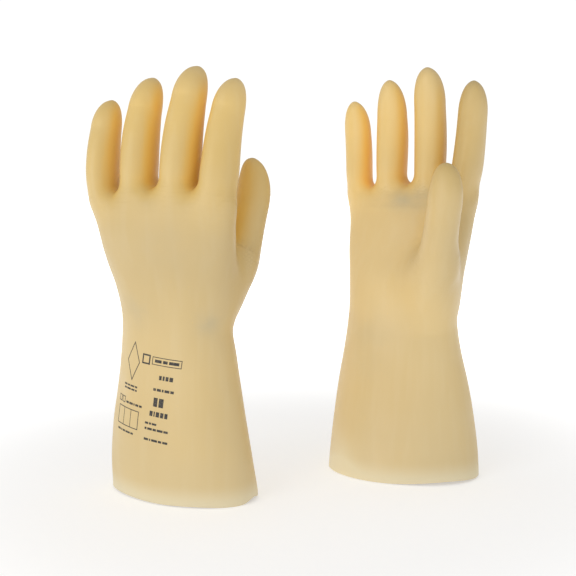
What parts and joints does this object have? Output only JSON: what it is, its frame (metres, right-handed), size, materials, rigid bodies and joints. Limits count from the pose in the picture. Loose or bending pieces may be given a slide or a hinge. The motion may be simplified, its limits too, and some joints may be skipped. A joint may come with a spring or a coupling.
{
  "type": "electrical insulating gloves",
  "caption": "Long-cuffed five-finger gloves of thin smooth moulded rubber with flared gauntlets, standing on their open rims, that keep electric current off the hands.",
  "frame": {"origin": "middle of the pair's box, on the plane of the two cuff rims", "axes": "+Z from the cuff rims up along the fingers, +X from the left glove to the right glove, +Y away from the viewer, who sees the back of the left glove and the palm of the right"},
  "size_m": [0.34, 0.1892, 0.3602],
  "materials": {
    "cuff_latex": "satin natural latex",
    "hand_latex": "satin natural latex",
    "finger_latex": "satin natural latex"
  },
  "bodies": {
    "left_cuff": {"left_cuff": "cuff_latex"},
    "left_hand": {"left_hand": "hand_latex"},
    "left_index_base": {"left_index_base": "finger_latex"},
    "left_index_middle": {"left_index_middle": "finger_latex"},
    "left_index_tip": {"left_index_tip": "finger_latex"},
    "left_little_base": {"left_little_base": "finger_latex"},
    "left_little_middle": {"left_little_middle": "finger_latex"},
    "left_little_tip": {"left_little_tip": "finger_latex"},
    "left_middle_base": {"left_middle_base": "finger_latex"},
    "left_middle_middle": {"left_middle_middle": "finger_latex"},
    "left_middle_tip": {"left_middle_tip": "finger_latex"},
    "left_ring_base": {"left_ring_base": "finger_latex"},
    "left_ring_middle": {"left_ring_middle": "finger_latex"},
    "left_ring_tip": {"left_ring_tip": "finger_latex"},
    "left_thumb_base": {"left_thumb_base": "finger_latex"},
    "left_thumb_tip": {"left_thumb_tip": "finger_latex"},
    "right_cuff": {"right_cuff": "cuff_latex"},
    "right_hand": {"right_hand": "hand_latex"},
    "right_index_base": {"right_index_base": "finger_latex"},
    "right_index_middle": {"right_index_middle": "finger_latex"},
    "right_index_tip": {"right_index_tip": "finger_latex"},
    "right_little_base": {"right_little_base": "finger_latex"},
    "right_little_middle": {"right_little_middle": "finger_latex"},
    "right_little_tip": {"right_little_tip": "finger_latex"},
    "right_middle_base": {"right_middle_base": "finger_latex"},
    "right_middle_middle": {"right_middle_middle": "finger_latex"},
    "right_middle_tip": {"right_middle_tip": "finger_latex"},
    "right_ring_base": {"right_ring_base": "finger_latex"},
    "right_ring_middle": {"right_ring_middle": "finger_latex"},
    "right_ring_tip": {"right_ring_tip": "finger_latex"},
    "right_thumb_base": {"right_thumb_base": "finger_latex"},
    "right_thumb_tip": {"right_thumb_tip": "finger_latex"}
  },
  "joints": [
    {"name": "left_wrist", "type": "hinge", "parent": "left_cuff", "child": "left_hand", "pos_m": [-0.0981, -0.03599, 0.14846], "axis": [-0.912, 0.4102, 0], "range_deg": [-15, 20], "stiffness_Nm_per_rad": 1},
    {"name": "left_little_knuckle", "type": "hinge", "parent": "left_hand", "child": "left_little_base", "pos_m": [-0.15438, -0.03449, 0.2647], "axis": [-0.927, 0.3745, -0.0175], "range_deg": [-5, 50], "stiffness_Nm_per_rad": 0.1},
    {"name": "left_little_middle_joint", "type": "hinge", "parent": "left_little_base", "child": "left_little_middle", "pos_m": [-0.15445, -0.03359, 0.28769], "axis": [0.927, -0.3745, 0.0175], "range_deg": [-50, 0], "stiffness_Nm_per_rad": 0.05},
    {"name": "left_little_tip_joint", "type": "hinge", "parent": "left_little_middle", "child": "left_little_tip", "pos_m": [-0.15348, -0.03024, 0.30839], "axis": [0.927, -0.3745, 0.0175], "range_deg": [-25, 0], "stiffness_Nm_per_rad": 0.03},
    {"name": "left_ring_knuckle", "type": "hinge", "parent": "left_hand", "child": "left_ring_base", "pos_m": [-0.12446, -0.04385, 0.26851], "axis": [-0.927, 0.3745, 0.0175], "range_deg": [-5, 50], "stiffness_Nm_per_rad": 0.1},
    {"name": "left_ring_middle_joint", "type": "hinge", "parent": "left_ring_base", "child": "left_ring_middle", "pos_m": [-0.12335, -0.04254, 0.29946], "axis": [0.927, -0.3745, -0.0175], "range_deg": [-50, 0], "stiffness_Nm_per_rad": 0.05},
    {"name": "left_ring_tip_joint", "type": "hinge", "parent": "left_ring_middle", "child": "left_ring_tip", "pos_m": [-0.12118, -0.03826, 0.32298], "axis": [0.927, -0.3745, -0.0175], "range_deg": [-25, 0], "stiffness_Nm_per_rad": 0.03},
    {"name": "left_middle_knuckle", "type": "hinge", "parent": "left_hand", "child": "left_middle_base", "pos_m": [-0.08981, -0.05536, 0.27292], "axis": [-0.9269, 0.3745, 0.0262], "range_deg": [-5, 50], "stiffness_Nm_per_rad": 0.1},
    {"name": "left_middle_middle_joint", "type": "hinge", "parent": "left_middle_base", "child": "left_middle_middle", "pos_m": [-0.08815, -0.05355, 0.30583], "axis": [0.9269, -0.3745, -0.0262], "range_deg": [-50, 0], "stiffness_Nm_per_rad": 0.05},
    {"name": "left_middle_tip_joint", "type": "hinge", "parent": "left_middle_middle", "child": "left_middle_tip", "pos_m": [-0.08529, -0.04828, 0.33164], "axis": [0.9269, -0.3745, -0.0262], "range_deg": [-25, 0], "stiffness_Nm_per_rad": 0.03},
    {"name": "left_index_knuckle", "type": "hinge", "parent": "left_hand", "child": "left_index_base", "pos_m": [-0.05669, -0.06741, 0.2682], "axis": [-0.9259, 0.3741, 0.0523], "range_deg": [-5, 50], "stiffness_Nm_per_rad": 0.1},
    {"name": "left_index_middle_joint", "type": "hinge", "parent": "left_index_base", "child": "left_index_middle", "pos_m": [-0.05418, -0.06552, 0.29904], "axis": [0.9259, -0.3741, -0.0523], "range_deg": [-50, 0], "stiffness_Nm_per_rad": 0.05},
    {"name": "left_index_tip_joint", "type": "hinge", "parent": "left_index_middle", "child": "left_index_tip", "pos_m": [-0.05117, -0.06135, 0.32248], "axis": [0.9259, -0.3741, -0.0523], "range_deg": [-25, 0], "stiffness_Nm_per_rad": 0.03},
    {"name": "left_thumb_root", "type": "hinge", "parent": "left_hand", "child": "left_thumb_base", "pos_m": [-0.04385, -0.01756, 0.212], "axis": [-0.4244, 0.9048, -0.0349], "range_deg": [-15, 20], "stiffness_Nm_per_rad": 0.1},
    {"name": "left_thumb_tip_joint", "type": "hinge", "parent": "left_thumb_base", "child": "left_thumb_tip", "pos_m": [-0.04236, -0.01543, 0.24891], "axis": [0.4244, -0.9048, 0.0349], "range_deg": [0, 35], "stiffness_Nm_per_rad": 0.05},
    {"name": "right_glove_apart", "type": "slide", "parent": "left_cuff", "child": "right_cuff", "axis": [1, 0, 0], "range_m": [0, 0.1]},
    {"name": "right_wrist", "type": "hinge", "parent": "right_cuff", "child": "right_hand", "pos_m": [0.09837, 0.03104, 0.14846], "axis": [0.9318, -0.363, 0], "range_deg": [-15, 20], "stiffness_Nm_per_rad": 1},
    {"name": "right_little_knuckle", "type": "hinge", "parent": "right_hand", "child": "right_little_base", "pos_m": [0.05785, 0.07012, 0.2647], "axis": [0.9171, -0.3987, 0], "range_deg": [-5, 50], "stiffness_Nm_per_rad": 0.1},
    {"name": "right_little_middle_joint", "type": "hinge", "parent": "right_little_base", "child": "right_little_middle", "pos_m": [0.05753, 0.06939, 0.28769], "axis": [-0.9171, 0.3987, 0], "range_deg": [-50, 0], "stiffness_Nm_per_rad": 0.05},
    {"name": "right_little_tip_joint", "type": "hinge", "parent": "right_little_middle", "child": "right_little_tip", "pos_m": [0.05615, 0.06621, 0.3084], "axis": [-0.9171, 0.3987, 0], "range_deg": [-25, 0], "stiffness_Nm_per_rad": 0.03},
    {"name": "right_ring_knuckle", "type": "hinge", "parent": "right_hand", "child": "right_ring_base", "pos_m": [0.08549, 0.05534, 0.26851], "axis": [0.9165, -0.3985, -0.0349], "range_deg": [-5, 50], "stiffness_Nm_per_rad": 0.1},
    {"name": "right_ring_middle_joint", "type": "hinge", "parent": "right_ring_base", "child": "right_ring_middle", "pos_m": [0.08584, 0.05343, 0.29945], "axis": [-0.9165, 0.3985, 0.0349], "range_deg": [-50, 0], "stiffness_Nm_per_rad": 0.05},
    {"name": "right_ring_tip_joint", "type": "hinge", "parent": "right_ring_middle", "child": "right_ring_tip", "pos_m": [0.08468, 0.04871, 0.32295], "axis": [-0.9165, 0.3985, 0.0349], "range_deg": [-25, 0], "stiffness_Nm_per_rad": 0.03},
    {"name": "right_middle_knuckle", "type": "hinge", "parent": "right_hand", "child": "right_middle_base", "pos_m": [0.118, 0.0387, 0.27292], "axis": [0.9167, -0.3986, -0.0262], "range_deg": [-5, 50], "stiffness_Nm_per_rad": 0.1},
    {"name": "right_middle_middle_joint", "type": "hinge", "parent": "right_middle_base", "child": "right_middle_middle", "pos_m": [0.11787, 0.03625, 0.30583], "axis": [-0.9167, 0.3986, 0.0262], "range_deg": [-50, 0], "stiffness_Nm_per_rad": 0.05},
    {"name": "right_middle_tip_joint", "type": "hinge", "parent": "right_middle_middle", "child": "right_middle_tip", "pos_m": [0.11612, 0.03051, 0.33164], "axis": [-0.9167, 0.3986, 0.0262], "range_deg": [-25, 0], "stiffness_Nm_per_rad": 0.03},
    {"name": "right_index_knuckle", "type": "hinge", "parent": "right_hand", "child": "right_index_base", "pos_m": [0.14976, 0.02354, 0.2682], "axis": [0.9102, -0.3958, -0.1219], "range_deg": [-5, 50], "stiffness_Nm_per_rad": 0.1},
    {"name": "right_index_middle_joint", "type": "hinge", "parent": "right_index_base", "child": "right_index_middle", "pos_m": [0.15214, 0.01956, 0.29886], "axis": [-0.9102, 0.3958, 0.1219], "range_deg": [-50, 0], "stiffness_Nm_per_rad": 0.05},
    {"name": "right_index_tip_joint", "type": "hinge", "parent": "right_index_middle", "child": "right_index_tip", "pos_m": [0.15277, 0.01385, 0.32216], "axis": [-0.9102, 0.3958, 0.1219], "range_deg": [-25, 0], "stiffness_Nm_per_rad": 0.03},
    {"name": "right_thumb_root", "type": "hinge", "parent": "right_hand", "child": "right_thumb_base", "pos_m": [0.12325, -0.02057, 0.212], "axis": [0.9416, 0.331, 0.061], "range_deg": [-15, 20], "stiffness_Nm_per_rad": 0.1},
    {"name": "right_thumb_tip_joint", "type": "hinge", "parent": "right_thumb_base", "child": "right_thumb_tip", "pos_m": [0.12274, -0.02587, 0.24862], "axis": [-0.9416, -0.331, -0.061], "range_deg": [0, 35], "stiffness_Nm_per_rad": 0.05}
  ],
  "couplings": [
    {"joint": "left_little_tip_joint", "follows": "left_little_middle_joint", "ratio": 0.5},
    {"joint": "left_ring_tip_joint", "follows": "left_ring_middle_joint", "ratio": 0.5},
    {"joint": "left_middle_tip_joint", "follows": "left_middle_middle_joint", "ratio": 0.5},
    {"joint": "left_index_tip_joint", "follows": "left_index_middle_joint", "ratio": 0.5},
    {"joint": "right_little_tip_joint", "follows": "right_little_middle_joint", "ratio": 0.5},
    {"joint": "right_ring_tip_joint", "follows": "right_ring_middle_joint", "ratio": 0.5},
    {"joint": "right_middle_tip_joint", "follows": "right_middle_middle_joint", "ratio": 0.5},
    {"joint": "right_index_tip_joint", "follows": "right_index_middle_joint", "ratio": 0.5}
  ]
}
